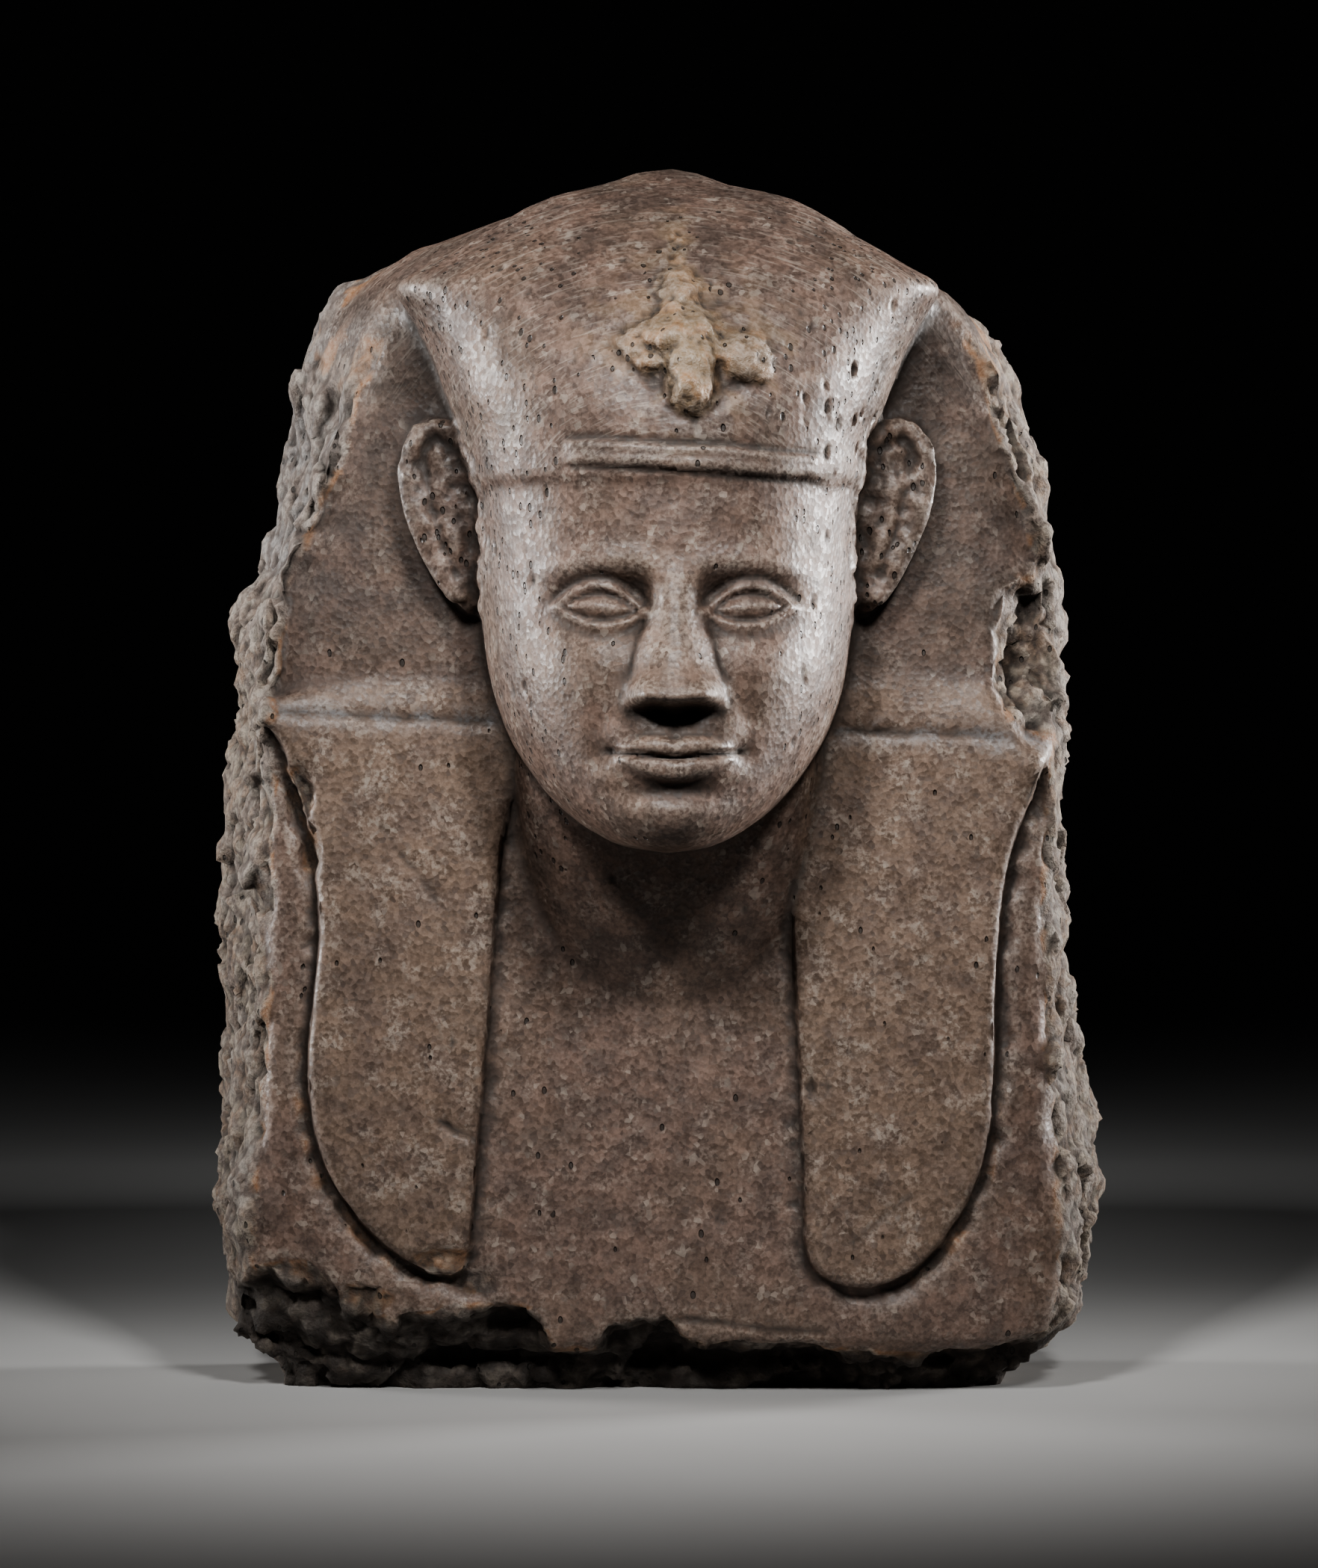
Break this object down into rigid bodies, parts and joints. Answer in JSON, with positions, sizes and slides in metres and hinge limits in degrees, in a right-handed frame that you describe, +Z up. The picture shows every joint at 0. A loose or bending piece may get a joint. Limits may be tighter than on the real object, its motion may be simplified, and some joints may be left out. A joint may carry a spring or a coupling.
{
  "type": "stone pharaoh bust",
  "caption": "Head and chest of a king in a smooth headcloth with a worn cobra over the brow, carved in one block of brown stone and broken at the sides, back and foot.",
  "frame": {"origin": "centre of the bounding box on the flat of the underside, where it stands", "axes": "+Z up, the face looks along -Y, +X towards the figure's left"},
  "size_m": [0.2042, 0.1408, 0.2677],
  "materials": {
    "stone": "worn, pitted, dull with a slight polish on the face"
  },
  "bodies": {
    "root": {"royal_bust": "stone"}
  },
  "joints": []
}
